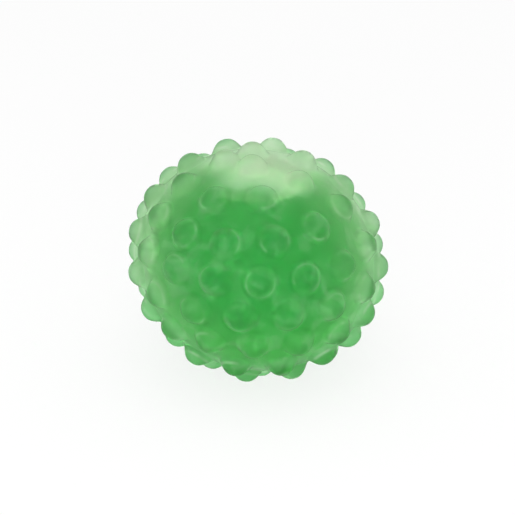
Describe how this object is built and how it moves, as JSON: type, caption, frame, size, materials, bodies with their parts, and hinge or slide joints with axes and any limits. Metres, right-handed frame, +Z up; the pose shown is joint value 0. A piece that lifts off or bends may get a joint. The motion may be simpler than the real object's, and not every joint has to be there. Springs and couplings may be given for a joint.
{
  "type": "sensory ball",
  "caption": "Soft translucent ball with rounded nubs all over, filled with gel below a small air pocket and closed by a bonded plug underneath.",
  "frame": {"origin": "on the surface that the ball rests on, in the middle of its plan", "axes": "+Z up, -Y towards the picture's camera, +X to the right, the side that the sagged body leans to"},
  "size_m": [0.0734, 0.0742, 0.066],
  "materials": {
    "skin": "milky translucent green elastomer, satin",
    "gel": "saturated green gel, slightly cloudy",
    "plug": "translucent green elastomer, satin"
  },
  "bodies": {
    "root": {"nubbed_skin": "skin", "gel_fill": "gel", "filler_plug": "plug"}
  },
  "joints": []
}
